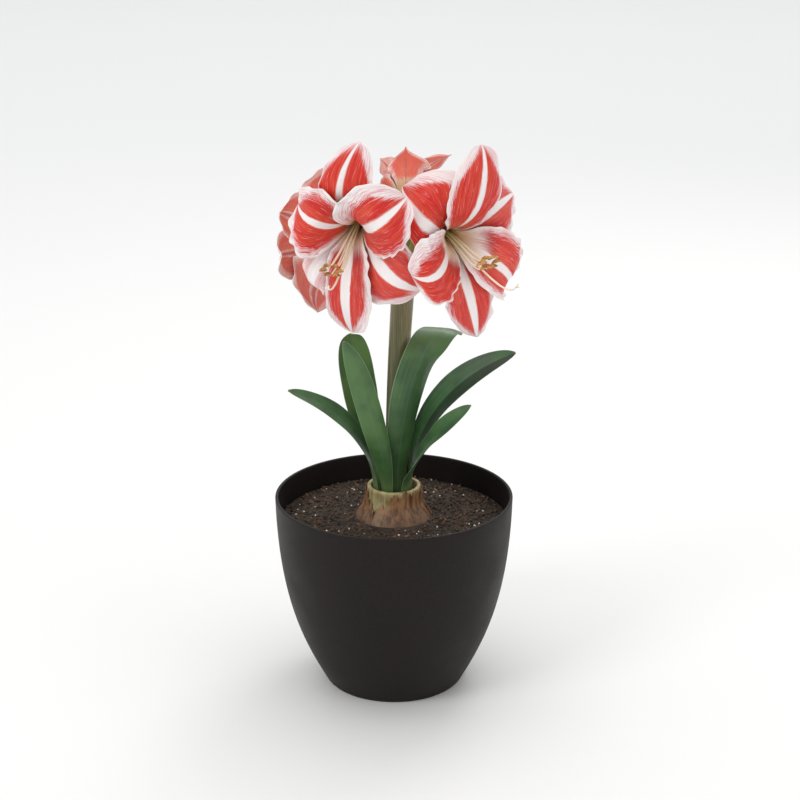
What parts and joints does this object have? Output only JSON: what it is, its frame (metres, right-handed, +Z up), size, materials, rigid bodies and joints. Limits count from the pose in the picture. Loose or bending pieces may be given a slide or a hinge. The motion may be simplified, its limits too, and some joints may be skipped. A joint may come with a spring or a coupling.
{
  "type": "potted amaryllis",
  "caption": "Amaryllis in bloom: banded red and white trumpet flowers on a stout stalk above strap leaves, growing from a bulb in a plain dark round planter.",
  "frame": {"origin": "middle of the planter's flat underside, on the surface that it stands on", "axes": "+Z up along the planter's axis, the picture's viewer stands at -Y, +X to that viewer's right"},
  "size_m": [0.2135, 0.2198, 0.5108],
  "materials": {
    "planter": "matte",
    "soil": "matte",
    "bulb_skin": "satin",
    "stalk": "satin",
    "leaf": "satin",
    "bract": "matte",
    "pedicel": "satin",
    "tepals": "satin",
    "stamens": "satin"
  },
  "bodies": {
    "root": {"pot": "planter", "soil": "soil", "bulb": "bulb_skin", "stalk": "stalk", "leaf_left_low": "leaf", "leaf_left_front": "leaf", "leaf_left_back": "leaf", "leaf_right_tall": "leaf", "leaf_right_long": "leaf", "leaf_right_short": "leaf", "bract_right_front": "bract", "bract_back": "bract", "pedicel_left_front": "pedicel", "pedicel_right_front": "pedicel", "pedicel_left_back": "pedicel", "pedicel_right_back": "pedicel", "flower_left_front": "tepals", "flower_right_front": "tepals", "flower_left_back": "tepals", "flower_right_back": "tepals", "stamens_left_front": "stamens", "stamens_right_front": "stamens", "stamens_left_back": "stamens", "stamens_right_back": "stamens"}
  },
  "joints": []
}
